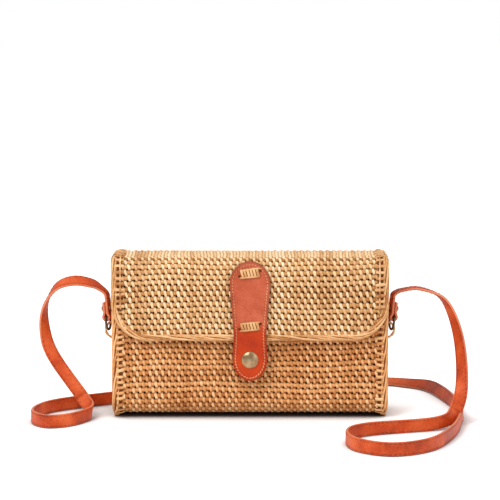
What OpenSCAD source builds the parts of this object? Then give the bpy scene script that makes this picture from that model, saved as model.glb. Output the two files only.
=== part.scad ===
// Woven box bag: a rattan basket with a hinged flap, a leather closure tab
// with a press stud, and a leather shoulder strap on two wire rings.
// Front faces -Y, +Z is up, and the ground is at z = 0.

/* [Basket] */
// Width over the two edge canes
bag_w = 210; // [180:1:240]
// Depth of the woven body from front weave to back weave
bag_d = 54; // [48:1:70]
// Height of the woven top above the ground
bag_h = 123; // [114:1:142]
// Thickness of a woven wall, without the swell of its rows
wall_t = 3.4; // [2.8:0.1:4]
// How far the front wall leans back between its foot and the top
front_lean = 2; // [0:0.5:4]
// Bend of the weave between the walls and the bottom
bottom_r = 12; // [9:0.5:15]
// Bend of the weave between the back and the top
back_r = 9; // [7:0.5:12]
// Width of the cane that binds each end of the basket
cane_w = 6; // [4.5:0.5:8]
// How far the edge cane stands proud of the weave
cane_proud = 1.5; // [1.1:0.1:1.9]
// Height of the foot under each edge cane
foot_rise = 2; // [1:0.5:4]
// Step that rounds the two shoulders of the edge cane
cane_step = 0.8; // [0.4:0.1:1]
// How far an end panel sits inside the outer face of its cane
panel_inset = 1; // [0.9:0.1:2]
// Height of the bound rim along the front of the mouth
mouth_rim_h = 3.5; // [2:0.5:6]
// Thickness of the cotton lining
lining_t = 0.8; // [0.5:0.1:1.2]

/* [Weave] */
// Distance from one woven row to the next
row_pitch = 4.2; // [3.4:0.1:6]
// How far each row swells out of the wall
ridge_h = 0.9; // [0.4:0.1:1]
// How far the valleys between the rows sink into the wall
valley_d = 0.8; // [0:0.1:1]
// Width of a gap between the rows of the flap
gap_w = 3; // [2:0.1:4]
// Height of such a gap
gap_h = 1.2; // [0.8:0.1:1.6]
// Distance from one gap to the next in a row
gap_pitch = 11; // [9:0.5:14]

/* [Flap] */
// Height of the flap's front below the top of the bag
flap_drop = 62.5; // [50:0.5:68]
// Clear gap between the flap and the body under it
flap_gap = 2.6; // [2.5:0.1:4]
// Bend of the flap over the front top edge
flap_r = 10; // [9:0.5:14]
// Corner radius of the flap's lower edge
flap_corner_r = 28; // [18:1:40]
// Width of the bound rim around the flap
rim_w = 5; // [4:0.5:7]
// How far that rim stands proud of the flap on both sides
rim_proud = 0.6; // [0.3:0.1:0.7]

/* [Closure tab] */
// Thickness of the leather tab
tab_t = 2.2; // [1.6:0.1:3]
// Width of the tab at the press stud
tab_low_w = 26.5; // [22:0.5:32]
// Width of the tab where it crosses the flap's rim
tab_waist_w = 24.5; // [20:0.5:30]
// Width of the tab near its top
tab_high_w = 31; // [26:0.5:38]
// Distance of the tab's rounded top below the top of the bag
tab_top_gap = 2; // [1:0.5:8]
// Length of the rounded ends of the tab
tab_end = 17; // [13:0.5:19]
// Distance of the upper lashing below the top of the bag
lash_high_drop = 11; // [10.5:0.5:18]
// Height of the lower lashing above the flap's lower edge
lash_low_rise = 11.5; // [9:0.5:18]
// Length of a lashing
lash_w = 15; // [12:0.5:20]
// Height of a lashing
lash_h = 7.5; // [6:0.5:9]
// Radius of one strand in a lashing
lash_r = 1.3; // [1.2:0.05:1.5]

/* [Press stud] */
// Distance of the press stud below the flap's lower edge
snap_drop = 14; // [12:0.5:20]
// Diameter of the domed cap
snap_cap_d = 12.5; // [10:0.5:15]
// Height of the domed cap
snap_cap_h = 2.4; // [1.8:0.1:3.2]
// Diameter of the socket and of the stud's flange
snap_base_d = 10.5; // [9:0.5:13]
// Diameter of the stud's nipple
snap_nipple_d = 4.6; // [3.8:0.1:5.2]

/* [Strap hardware] */
// Height of the ring's seat in its cane loop
lug_z = 64.5; // [52:0.5:77]
// Bend of the cane loop
lug_r = 6.2; // [6:0.1:7]
// Radius of the cane in that loop
lug_cane_r = 1.2; // [0.9:0.1:1.4]
// Wire radius of the ring
wire_r = 0.9; // [0.7:0.05:1]
// Height of the ring from its seat to its straight bar
ring_h = 10; // [9:0.5:14]
// Width of the strap
strap_w = 10; // [8:0.5:12]
// Thickness of the strap
strap_t = 2.2; // [1.6:0.1:2.4]
// Diameter of the strap rivet's dome
rivet_d = 6; // [5:0.5:7]

/* [Hidden] */
$fn = 48;

cane_colour = "#d9a868";
weave_colour = "#cf9a58";
leather_colour = "#c2532a";
brass_colour = "#a89a78";
iron_colour = "#5c4a44";
cotton_colour = "#4a2c1a";

ARC_STEPS = 8;       // flats in each bend of the weave
RIDGE_STEPS = 4;     // flats across each woven row
END_STEPS = 12;      // flats in each rounded end of the tab
GAP_ROWS = 8;        // rows of gaps in the flap's front
GAP_FIRST = 2;       // first valley with gaps, counted from the flap's lower edge
fit_gap = 0.2;       // clearance round pieces that sit in another
pin_gap = 0.05;      // clearance round a strand or post in its hole
hinge_gap = 0.3;     // slit between the back weave and the flap
hinge_flat = 2;      // straight weave between the back bend and the hinge line

// Heights and lines that the walls share
foot_h = cane_proud + foot_rise;
flap_z = bag_h - flap_drop;
tab_top_z = bag_h - tab_top_gap;
lash_high_z = bag_h - lash_high_drop;
lash_low_z = flap_z + lash_low_rise;
snap_z = flap_z - snap_drop;
mouth_z = bag_h - flap_r - 2;
lining_z = mouth_z - mouth_rim_h;
hinge_y = bag_d / 2 - back_r - hinge_flat;
hinge_z = bag_h + cane_proud;
wrap_x = bag_w / 2 - cane_w;
panel_x = bag_w / 2 - panel_inset;
lean_a = atan(front_lean / (bag_h - foot_h));
flap_out = flap_gap + wall_t;
tab_in = flap_out + ridge_h + rim_proud;
tab_out = tab_in + tab_t;

// Press stud, as heights above the front wall without its rows
stud_base = ridge_h;
stud_top = stud_base + 1.6;
socket_in = stud_top + 0.6;
socket_floor = 0.8;
nipple_h = 3.4;
nipple_neck = 0.3;
post_r = 1.5;
wall_in = wall_t + fit_gap + lining_t;
backing_t = 0.8;
cap_rim_t = 0.8;
cap_rim_step = 0.4;

// Lashing strands and the legs that sew them through the flap
LASH_STRANDS = 6;
lash_slant = 25;
lash_leg_r = 0.8;
lash_leg_x = lash_w / 2 - lash_r;
stitch_t = 0.5;

// Ring, strap end and rivet, in the ring's own frame
ring_turn = 12;      // the ring stands turned so that its near side is further out
ring_lean = 5;       // and leans outwards
ring_gap = 0.3;
ring_seat = lug_r - lug_cane_r - wire_r - ring_gap;
ring_r = strap_w / 2 + wire_r + 0.3;
ring_corner_r = 1.5;
ring_x = panel_x + ridge_h + ring_seat;
fold_gap = 0.3;
fold_x = strap_t / 2 + pin_gap;
fold_r = wire_r + fold_gap + strap_t / 2;
fold_pinch = ring_h + 3;
rivet_at = fold_pinch + rivet_d / 2 + 0.3;
fold_tail = rivet_at + rivet_d / 2 + 2;
fold_top = fold_tail + 3;
rivet_post_r = 1.2;
rivet_dome_h = 2.2;
rivet_back_t = 0.6;

// The bounding box is centred front to back on the origin
front_reach = max((tab_out + snap_cap_h) * cos(lean_a) - front_y(snap_z),
    (tab_out + 2 * lash_r) * cos(lean_a) - front_y(lash_low_z));
back_reach = bag_d / 2 + cane_proud;
centre_y = (front_reach - back_reach) / 2;

// The strap's middle line from the left ring to the right ring, and its width direction
STRAP_ROUTE = [
    [-109.7, 5.1, 89.2, 0.2, 1, 0], [-110.6, 5.1, 92.5, 0.2, 1, 0], [-114.3, 5, 96, 0.15, 1, 0.15],
    [-122, 5, 100.3, 0, 0.85, 0.5], [-136, 5, 102.2, 0, 0.8, 0.6], [-149, 4, 97.3, 0, 0.9, 0.4],
    [-157.3, 3, 83, 0.25, 0.95, 0.15], [-157.6, 1, 64, 0.7, 0.7, 0], [-151, -2, 45, 0.95, 0.3, 0.25],
    [-129, -9, 15, 0.7, 0.05, 0.7], [-121.5, -18, 6.2, 0.25, 0.15, 0.95], [-123, -34, 5.3, 0, 0, 1],
    [-135, -54, 5.3, 0, 0, 1], [-151, -60, 5.3, 0, 0, 1], [-163, -43, 5.3, 0, 0, 1],
    [-162, -19, 5.3, 0, 0, 1], [-148, 6, 5.3, 0, 0, 1], [-104, 38.5, 5.2, -0.05, 0.2, 0.97],
    [-70, 56, 4.8, -0.3, 0.55, 0.75], [15, 98, 3.2, -0.3, 0.9, 0.3], [98, 121, 3.2, 0.05, 0.95, 0.3],
    [130, 111, 3.6, 0.5, 0.7, 0.5], [149, 82, 4.9, 0.55, 0.3, 0.8],
    [161, -5, 5.3, 0, 0, 1], [157, -52, 5.3, 0, 0, 1], [146, -101, 5.3, 0, 0, 1],
    [127, -143, 5.3, 0, 0, 1], [99, -160, 5.3, 0, 0, 1], [75, -143, 5.3, 0, 0, 1],
    [70, -112, 5.3, 0, 0, 1], [86, -89, 5.3, 0, 0, 1], [138, -68, 5.6, 0, 0, 1],
    [153.5, -51, 12, -0.5, 0.3, 0.75], [160, -33, 31, -0.75, 0.65, 0.1], [158.5, -15, 63, -0.6, 0.8, 0],
    [148.5, -3, 88.2, -0.35, 0.95, 0], [131, 2.5, 96.4, 0, 1, 0], [116.7, 4.8, 95, -0.1, 1, 0],
    [110.8, 5.1, 92.2, -0.2, 1, 0], [109.7, 5.1, 89.2, -0.2, 1, 0]];
ROUTE_STEPS = 2;

// Vector helpers
function unit(v) = v / norm(v);
function left_of(v) = [-v[1], v[0]];
function reversed(p) = [for (i = [len(p) - 1:-1:0]) p[i]];
function turn(a, b) = a[0] * b[1] - a[1] * b[0];

// An open outline whose inner corners are bent to the given radii
function bend(c, r, i) =
    let (a = unit(c[i - 1] - c[i]), b = unit(c[i + 1] - c[i]), angle = acos(a * b),
        middle = c[i] + unit(a + b) * r / sin(angle / 2),
        first = c[i] + a * r / tan(angle / 2) - middle,
        start = atan2(first[1], first[0]), way = sign(turn(-a, b)))
    [for (k = [0:ARC_STEPS]) let (t = start + way * (180 - angle) * k / ARC_STEPS)
        middle + r * [cos(t), sin(t)]];
function bent(c, radii) = [for (i = [0:len(c) - 1])
    each (i == 0 || i == len(c) - 1 ? [c[i]] : bend(c, radii[i - 1], i))];

// The same outline moved sideways, to the left of its direction
function beside(p, d) = [for (i = [0:len(p) - 1])
    let (n1 = left_of(unit(p[max(i, 1)] - p[max(i, 1) - 1])),
        n2 = left_of(unit(p[min(i + 1, len(p) - 1)] - p[min(i, len(p) - 2)])),
        m = unit(n1 + n2))
    p[i] + m * d / (m * n1)];

// Distance along an outline, and the point and direction at a distance
function along(p, i = 0, s = 0) = i == len(p) - 1 ? [s]
    : concat([s], along(p, i + 1, s + norm(p[i + 1] - p[i])));
function segment_at(d, s, i = 0) = i >= len(d) - 2 || s < d[i + 1] ? i : segment_at(d, s, i + 1);
function raised_point(p, d, s, h) =
    let (i = segment_at(d, s), t = unit(p[i + 1] - p[i]))
    p[i] + t * (s - d[i]) - left_of(t) * h;

// An outline with one rounded ridge for each woven row, on its right side
function ridged(p) =
    let (d = along(p), total = d[len(d) - 1], rows = max(1, round(total / row_pitch)), step = total / rows)
    [for (i = [0:rows - 1]) each [for (k = [0:RIDGE_STEPS - 1])
        raised_point(p, d, (i + k / RIDGE_STEPS) * step,
            (ridge_h + valley_d) * sin(180 * k / RIDGE_STEPS) - valley_d)],
        raised_point(p, d, total, -valley_d)];

// The front wall's line, and the outlines of body, tub and flap seen from the end
function front_y(z) = -bag_d / 2 + front_lean * (z - foot_h) / (bag_h - foot_h);
body_line = bent([[front_y(mouth_z), mouth_z], [front_y(foot_h), foot_h], [bag_d / 2, foot_h],
    [bag_d / 2, bag_h], [hinge_y, bag_h]], [bottom_r, bottom_r, back_r]);
wrap_line = concat([[front_y(lining_z), lining_z]], [for (i = [1:len(body_line) - 1]) body_line[i]]);
function tub_line(top_z) = bent([[front_y(top_z), top_z], [front_y(foot_h), foot_h],
    [bag_d / 2, foot_h], [bag_d / 2, top_z]], [bottom_r, bottom_r]);
function flap_line(low_z, start_y) = bent([[start_y, bag_h],
    [front_y(bag_h) - flap_out / cos(lean_a), bag_h],
    [front_y(low_z) - flap_out / cos(lean_a), low_z]], [flap_r]);
flap_back_y = hinge_y - hinge_gap;

// The band between two lines beside an outline
function band(p, inner, outer) = concat(beside(p, -outer), reversed(beside(p, inner)));

module in_place() { translate([0, centre_y, 0]) children(); }

// Sweeps an end view along X, centred
module across(width) {
    rotate([90, 0, 90]) translate([0, 0, -width / 2]) linear_extrude(width) children();
}

// Local +Z points out of the front wall and local +Y up along it
module on_front(z) {
    translate([0, front_y(z), z]) rotate([90 - lean_a, 0, 0]) children();
}

// A drilling through the front, from depth inside to reach outside
module front_hole(x, z, r, inside, reach) {
    on_front(z) translate([x, 0, -inside]) cylinder(r = r, h = inside + reach);
}

// Both sides of the bag are mirror images
module on_side(side) { mirror([side < 0 ? 1 : 0, 0, 0]) children(); }

// Woven body: one sheet that runs down the front, under and up the back
module woven_body() {
    color(weave_colour) in_place() difference() {
        across(2 * wrap_x)
            polygon(concat(ridged(wrap_line), reversed(beside(wrap_line, wall_t))));
        front_hole(0, snap_z, post_r + pin_gap, 2 * wall_t, 2 * wall_t);
    }
}

// End panels: woven rows inside the edge canes
module end_outline() {
    lid = beside(flap_line(flap_z, hinge_y), flap_out);
    polygon(concat(beside(body_line, wall_t), [for (p = lid) if (p[1] >= mouth_z) p],
        [[front_y(mouth_z), mouth_z]]));
}

module end_panel(side) {
    rows = [[panel_x, 0], [panel_x, bag_h]];
    color(weave_colour) in_place() on_side(side) difference() {
        intersection() {
            translate([0, bag_d, 0]) rotate([90, 0, 0]) linear_extrude(2 * bag_d)
                polygon(concat(ridged(rows), reversed(beside(rows, wall_t))));
            across(2 * bag_w) end_outline();
        }
        for (z = [-1, 1] * lug_r) translate([panel_x - 2 * wall_t, 0, lug_z + z])
            rotate([0, 90, 0]) cylinder(r = lug_cane_r + pin_gap, h = 4 * wall_t);
    }
}

// Edge canes: bound around each end, with the feet that the bag stands on
module foot_outline() {
    reach = bag_d / 2 - bottom_r;
    top = reach + foot_rise;
    polygon([[-top, foot_h], [-top, foot_rise], [-reach, 0], [reach, 0], [top, foot_rise], [top, foot_h]]);
}

module edge_cane(side) {
    color(cane_colour) in_place() on_side(side) translate([bag_w / 2 - cane_w / 2, 0, 0]) union() {
        across(cane_w) polygon(band(body_line, wall_t, cane_proud - cane_step));
        across(cane_w - 2 * cane_step) polygon(band(body_line, wall_t, cane_proud));
        across(cane_w - 2 * cane_step) foot_outline();
    }
}

// Mouth rim: binds the top of the front wall
module mouth_rim() {
    rim_line = [[front_y(mouth_z), mouth_z], [front_y(lining_z), lining_z]];
    color(cane_colour) in_place() across(2 * wrap_x) polygon(band(rim_line, wall_t, ridge_h));
}

// Lining: an open cotton tub inside the weave
module lining() {
    half = panel_x - wall_t - fit_gap;
    outer = wall_t + fit_gap;
    color(cotton_colour) in_place() difference() {
        across(2 * half) polygon(beside(tub_line(lining_z), outer));
        across(2 * (half - lining_t)) polygon(beside(tub_line(bag_h), outer + lining_t));
        front_hole(0, snap_z, post_r + pin_gap, 3 * wall_t, wall_t);
    }
}

// Flap: the woven lid and front in one sheet, inside its bound rim
module flap_outline(inset) {
    half = bag_w / 2 - inset;
    low = flap_z + inset;
    r = flap_corner_r - inset;
    polygon(bent([[-half, bag_h + flap_r], [-half, low], [half, low], [half, bag_h + flap_r]], [r, r]));
}

module flap_cut(inset) {
    translate([0, bag_d, 0]) rotate([90, 0, 0]) linear_extrude(2 * bag_d) flap_outline(inset);
}

module lash_holes() {
    for (z = [lash_low_z, lash_high_z], x = [-1, 1] * lash_leg_x)
        front_hole(x, z, lash_leg_r + pin_gap, 0, 3 * tab_out);
}

// Gaps between the rows of the flap's front, in a brick pattern beside the tab
function flap_half(z) =
    let (r = flap_corner_r - rim_w, t = max(0, flap_z + rim_w + r - z))
    bag_w / 2 - rim_w - r + sqrt(max(0, r * r - t * t));

module weave_gaps() {
    line = flap_line(flap_z, flap_back_y);
    d = along(line);
    total = d[len(d) - 1];
    step = total / max(1, round(total / row_pitch));
    gap_from = tab_high_w / 2 + gap_pitch / 2;
    columns = min(6, floor((bag_w / 2 - rim_w - gap_from) / gap_pitch));
    for (row = [0:GAP_ROWS - 1], column = [0:columns], side = [-1, 1]) {
        spot = raised_point(line, d, total - (GAP_FIRST + row) * step, 0);
        x = gap_from + (column + (row % 2) / 2) * gap_pitch;
        if (x + gap_w < flap_half(spot[1]))
            translate([side * x, spot[0], spot[1]]) cube([gap_w, 4 * wall_t, gap_h], center = true);
    }
}

module flap() {
    line = flap_line(flap_z, flap_back_y);
    color(weave_colour) in_place() difference() {
        intersection() {
            across(bag_w) polygon(concat(ridged(line), reversed(beside(line, wall_t))));
            flap_cut(rim_w);
        }
        lash_holes();
        weave_gaps();
    }
}

module flap_rim() {
    color(cane_colour) in_place() difference() {
        intersection() {
            across(bag_w)
                polygon(band(flap_line(flap_z, flap_back_y), wall_t + rim_proud, ridge_h + rim_proud));
            flap_cut(0);
        }
        flap_cut(rim_w);
    }
}

// Flap lining: cotton under the flap, inside the rim
module flap_lining() {
    line = beside(flap_line(flap_z, flap_back_y), wall_t);
    color(cotton_colour) in_place() difference() {
        intersection() {
            across(bag_w) polygon(band(line, lining_t, 0));
            flap_cut(rim_w + fit_gap);
        }
        lash_holes();
    }
}

// Closure tab: leather that follows the flap and hangs over the press stud
module tab_outline() {
    low = tab_low_w / 2;
    waist = tab_waist_w / 2;
    high = tab_high_w / 2;
    bottom_z = snap_z + 1;
    top_z = tab_top_z - tab_end;
    polygon(concat(
        [for (i = [0:END_STEPS]) let (t = 180 + 180 * i / END_STEPS)
            [low * cos(t), bottom_z + tab_end * sin(t)]],
        [[waist, flap_z + rim_w]],
        [for (i = [0:END_STEPS]) let (t = 180 * i / END_STEPS)
            [high * cos(t), top_z + tab_end * sin(t)]],
        [[-waist, flap_z + rim_w]]));
}

module closure_tab() {
    line = flap_line(snap_z - 2 * tab_end, flap_back_y);
    color(leather_colour) in_place() difference() {
        intersection() {
            across(bag_w) polygon(band(line, -ridge_h - rim_proud, ridge_h + rim_proud + tab_t));
            rotate([90, 0, 0]) linear_extrude(2 * bag_d) tab_outline();
        }
        lash_holes();
        front_hole(0, snap_z, post_r + pin_gap, 0, 3 * tab_out);
    }
}

// Lashings: slanted split canes over the tab, sewn through the flap
module strand(length, r) {
    half = length / 2;
    rotate_extrude() polygon([[0, -half], [r / 2, -half], [r, r / 2 - half], [r, half - r / 2],
        [r / 2, half], [0, half]]);
}

module lashing(z) {
    low = flap_gap - lining_t;
    pitch = 2 * lash_leg_x / (LASH_STRANDS - 1);
    color(cane_colour) in_place() on_front(z) union() {
        for (i = [0:LASH_STRANDS - 1]) translate([i * pitch - lash_leg_x, 0, tab_out + lash_r])
            rotate([-90, 0, -lash_slant]) strand(lash_h, lash_r);
        for (x = [-lash_leg_x, lash_leg_x]) translate([x, 0, low - stitch_t])
            cylinder(r = lash_leg_r, h = tab_out + lash_r - low + stitch_t);
        translate([-lash_leg_x, -lash_leg_r / 2, low - stitch_t])
            cube([2 * lash_leg_x, lash_leg_r, stitch_t]);
    }
}

// Press stud: cap and socket on the tab, stud and backing on the front wall
module dome(r, h) {
    ball_r = (r * r + h * h) / (2 * h);
    intersection() {
        translate([0, 0, h - ball_r]) sphere(r = ball_r);
        cylinder(r = r, h = h);
    }
}

module snap_cap() {
    color(brass_colour) in_place() on_front(snap_z) union() {
        translate([0, 0, tab_in]) cylinder(r = post_r, h = tab_t);
        translate([0, 0, tab_out]) cylinder(d = snap_cap_d, h = cap_rim_t);
        translate([0, 0, tab_out + cap_rim_t])
            dome(snap_cap_d / 2 - cap_rim_step, snap_cap_h - cap_rim_t);
    }
}

module snap_socket() {
    color(brass_colour) in_place() on_front(snap_z) difference() {
        translate([0, 0, socket_in]) cylinder(d = snap_base_d, h = tab_in - socket_in);
        translate([0, 0, socket_in - socket_floor])
            cylinder(r = snap_nipple_d / 2 + fit_gap, h = tab_in - socket_in);
    }
}

module snap_stud() {
    neck_h = nipple_h / 2;
    color(brass_colour) in_place() on_front(snap_z) union() {
        translate([0, 0, -wall_in]) cylinder(r = post_r, h = wall_in + stud_top);
        translate([0, 0, stud_base]) cylinder(d = snap_base_d, h = stud_top - stud_base);
        translate([0, 0, stud_top]) cylinder(r = snap_nipple_d / 2 - nipple_neck, h = neck_h);
        translate([0, 0, stud_top + neck_h]) cylinder(d = snap_nipple_d, h = nipple_h - neck_h);
    }
}

module snap_backing() {
    color(brass_colour) in_place() on_front(snap_z)
        translate([0, 0, -wall_in - backing_t]) cylinder(d = snap_base_d, h = backing_t);
}

// Ring loops: a bent cane through each end panel
module ring_loop(side) {
    root_x = panel_x - wall_t;
    bend_x = panel_x + ridge_h;
    color(cane_colour) in_place() on_side(side) translate([0, 0, lug_z]) union() {
        for (z = [-lug_r, lug_r]) translate([root_x, 0, z]) rotate([0, 90, 0])
            cylinder(r = lug_cane_r, h = bend_x - root_x);
        translate([bend_x, 0, 0]) rotate([90, 0, 0]) rotate([0, 0, -90])
            rotate_extrude(angle = 180) translate([lug_r, 0]) circle(r = lug_cane_r);
    }
}

// The ring's own frame: seat at the origin, its plane in YZ, +X away from the bag
module on_ring(side) {
    in_place() on_side(side) translate([ring_x, 0, lug_z])
        rotate([0, 0, ring_turn]) rotate([0, ring_lean, 0]) children();
}

// A bend of the ring's wire in the YZ plane, between two angles from +Y
module wire_bend(r, from, angle) {
    rotate([90, 0, 90]) rotate([0, 0, from]) rotate_extrude(angle = angle)
        translate([r, 0]) circle(r = wire_r);
}

module ring(side) {
    bar = ring_r - ring_corner_r;
    leg_top = ring_h - ring_corner_r;
    color(iron_colour) on_ring(side) union() {
        translate([0, 0, ring_r]) wire_bend(ring_r, 180, 180);
        for (y = [-ring_r, ring_r]) translate([0, y, ring_r]) cylinder(r = wire_r, h = leg_top - ring_r);
        translate([0, bar, leg_top]) wire_bend(ring_corner_r, 0, 90);
        translate([0, -bar, leg_top]) wire_bend(ring_corner_r, 90, 90);
        translate([0, -bar, ring_h]) rotate([-90, 0, 0]) cylinder(r = wire_r, h = 2 * bar);
    }
}

// Strap ends: leather folded round the ring's bar and riveted
fold_line = concat(
    [[fold_x, fold_tail], [fold_x, fold_pinch]],
    [for (t = [30:-20:-210]) [fold_r * cos(t), ring_h + fold_r * sin(t)]],
    [[-fold_x, fold_pinch], [-fold_x, fold_top]]);
fold_face = fold_x + strap_t / 2;

module strap_end(side) {
    color(leather_colour) on_ring(side) difference() {
        translate([0, strap_w / 2, 0]) rotate([90, 0, 0]) linear_extrude(strap_w)
            polygon(band(fold_line, strap_t / 2, strap_t / 2));
        translate([-2 * fold_face, 0, rivet_at]) rotate([0, 90, 0])
            cylinder(r = rivet_post_r + pin_gap, h = 4 * fold_face);
    }
}

module strap_rivet(side) {
    color(brass_colour) on_ring(side) translate([0, 0, rivet_at]) rotate([0, 90, 0]) union() {
        translate([0, 0, -fold_face]) cylinder(r = rivet_post_r, h = 2 * fold_face);
        translate([0, 0, fold_face]) dome(rivet_d / 2, rivet_dome_h);
        translate([0, 0, -fold_face - rivet_back_t]) cylinder(d = rivet_d - 1, h = rivet_back_t);
    }
}

// Strap: a flat section swept along its route
function smooth(a, b, c, d, t) = 0.5 * (2 * b + (c - a) * t + (2 * a - 5 * b + 4 * c - d) * t * t
    + (3 * b - a - 3 * c + d) * t * t * t);
function route_point(p, i, t) = smooth(p[max(i - 1, 0)], p[i], p[i + 1], p[min(i + 2, len(p) - 1)], t);
function route(p) = [for (i = [0:len(p) - 2]) each [for (k = [0:ROUTE_STEPS - 1])
    route_point(p, i, k / ROUTE_STEPS)], p[len(p) - 1]];
function place_of(p) = [p[0], p[1], p[2]];
function width_of(p) = [p[3], p[4], p[5]];

module strap() {
    p = route(STRAP_ROUTE);
    last = len(p) - 1;
    edge = strap_t / 4;
    half_w = strap_w / 2;
    half_t = strap_t / 2;
    section = [[half_w, -half_t + edge], [half_w, half_t - edge],
        [half_w - edge, half_t], [-half_w + edge, half_t],
        [-half_w, half_t - edge], [-half_w, -half_t + edge],
        [-half_w + edge, -half_t], [half_w - edge, -half_t]];
    sides = len(section);
    rings = [for (i = [0:last])
        let (t = unit(place_of(p[min(i + 1, last)]) - place_of(p[max(i - 1, 0)])),
            w = unit(width_of(p[i]) - t * (width_of(p[i]) * t)),
            n = cross(t, w))
        each [for (s = section) place_of(p[i]) + w * s[0] + n * s[1]]];
    walls = [for (i = [0:last - 1], k = [0:sides - 1])
        let (a = i * sides + k, b = i * sides + (k + 1) % sides)
        each [[a, a + sides, b], [b, a + sides, b + sides]]];
    color(leather_colour) polyhedron(rings, concat(
        [[for (k = [0:sides - 1]) k]], walls,
        [[for (k = [sides - 1:-1:0]) last * sides + k]]));
}

woven_body();
end_panel(-1);  // end_panel_left
end_panel(1);  // end_panel_right
edge_cane(-1);  // edge_cane_left
edge_cane(1);  // edge_cane_right
mouth_rim();
lining();
flap();
flap_rim();
flap_lining();
closure_tab();
lashing(lash_high_z);  // upper_lashing
lashing(lash_low_z);  // lower_lashing
snap_cap();
snap_socket();
snap_stud();
snap_backing();
ring_loop(-1);  // ring_loop_left
ring_loop(1);  // ring_loop_right
ring(-1);  // ring_left
ring(1);  // ring_right
strap_end(-1);  // strap_end_left
strap_end(1);  // strap_end_right
strap_rivet(-1);  // strap_rivet_left
strap_rivet(1);  // strap_rivet_right
strap();
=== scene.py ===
"""Looks of a woven box bag: rattan weave, leather tab and strap, wire rings."""

import math
import random

import bmesh
import bpy
from mathutils import Matrix, Vector
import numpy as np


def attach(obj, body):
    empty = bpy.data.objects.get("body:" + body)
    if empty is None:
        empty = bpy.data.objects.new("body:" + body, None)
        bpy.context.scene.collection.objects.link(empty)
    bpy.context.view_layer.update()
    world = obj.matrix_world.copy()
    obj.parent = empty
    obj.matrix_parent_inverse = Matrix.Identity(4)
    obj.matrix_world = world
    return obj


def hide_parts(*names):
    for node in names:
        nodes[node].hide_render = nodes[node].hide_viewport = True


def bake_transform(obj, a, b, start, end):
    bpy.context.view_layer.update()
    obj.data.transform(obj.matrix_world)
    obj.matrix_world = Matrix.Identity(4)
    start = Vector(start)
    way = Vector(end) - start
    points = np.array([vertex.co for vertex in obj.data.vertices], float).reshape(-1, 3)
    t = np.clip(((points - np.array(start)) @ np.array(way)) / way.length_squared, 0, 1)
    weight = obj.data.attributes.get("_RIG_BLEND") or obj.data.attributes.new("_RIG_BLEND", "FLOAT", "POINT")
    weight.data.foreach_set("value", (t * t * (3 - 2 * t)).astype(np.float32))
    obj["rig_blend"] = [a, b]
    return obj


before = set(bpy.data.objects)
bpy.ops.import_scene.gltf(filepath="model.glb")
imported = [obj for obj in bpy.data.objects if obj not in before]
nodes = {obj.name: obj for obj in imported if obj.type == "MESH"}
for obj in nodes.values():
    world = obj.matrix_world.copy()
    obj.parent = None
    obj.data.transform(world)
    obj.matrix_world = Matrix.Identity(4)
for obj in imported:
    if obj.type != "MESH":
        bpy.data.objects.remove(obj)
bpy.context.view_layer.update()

# Sizes of the bag in millimetres, as in the part's source
MM = 0.001
BAG_W = 210.0
BAG_D = 54.0
BAG_H = 123.0
WALL = 3.4
FRONT_LEAN = 2.0
BOTTOM_R = 12.0
BACK_R = 9.0
CANE_W = 6.0
CANE_PROUD = 1.5
FOOT_RISE = 2.0
PANEL_INSET = 1.0
RIDGE = 0.9
ROW_PITCH = 4.2
FLAP_Z = 60.5
FLAP_GAP = 2.6
FLAP_R = 10.0
FLAP_CORNER_R = 28.0
RIM_W = 5.0
RIM_PROUD = 0.6
TAB_T = 2.2
TAB_LOW_W = 26.5
TAB_WAIST_W = 24.5
TAB_HIGH_W = 31.0
TAB_TOP_Z = 121.0
TAB_END = 17.0
SNAP_Z = 46.5
LASH_HIGH_Z = 112.0
LASH_LOW_Z = 72.0
LASH_W = 15.0
LASH_H = 7.5
LUG_Z = 64.5
RING_H = 10.0
RING_X = 108.7
RING_TURN = math.radians(12)
RING_LEAN = math.radians(5)
STRAP_W = 10.0
STRAP_T = 2.2
CENTRE_Y = 4.939
FOOT = CANE_PROUD + FOOT_RISE
HINGE_Y = BAG_D / 2 - BACK_R - 2.0
HINGE_LAP = 2.0
HINGE_BEND = 4.0
MOUTH_Z = BAG_H - FLAP_R - 2.0
LINING_Z = MOUTH_Z - 3.5
WRAP_X = BAG_W / 2 - CANE_W
PANEL_X = BAG_W / 2 - PANEL_INSET
LEAN = math.atan(FRONT_LEAN / (BAG_H - FOOT))
FLAP_OUT = FLAP_GAP + WALL
TAB_OFF = RIDGE + RIM_PROUD
RIGHT = Vector((1, 0, 0))
BACK = Vector((0, 1, 0))
UP = Vector((0, 0, 1))
SIDES = (("left", -1), ("right", 1))

# Camera at the photograph's angle
PITCH = math.radians(6.5)
CAMERA_AWAY = 1.6
AIM_Z = 0.126
camera = bpy.data.objects.new("camera", bpy.data.cameras.new("camera"))
camera.data.sensor_width = 36.0
camera.data.lens = 150.1
camera.data.clip_end = 20.0
camera.location = (0, CENTRE_Y * MM - CAMERA_AWAY * math.cos(PITCH), AIM_Z + CAMERA_AWAY * math.sin(PITCH))
camera.rotation_euler = (math.pi / 2 - PITCH, 0, 0)
bpy.context.scene.collection.objects.link(camera)
bpy.context.scene.camera = camera


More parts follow.
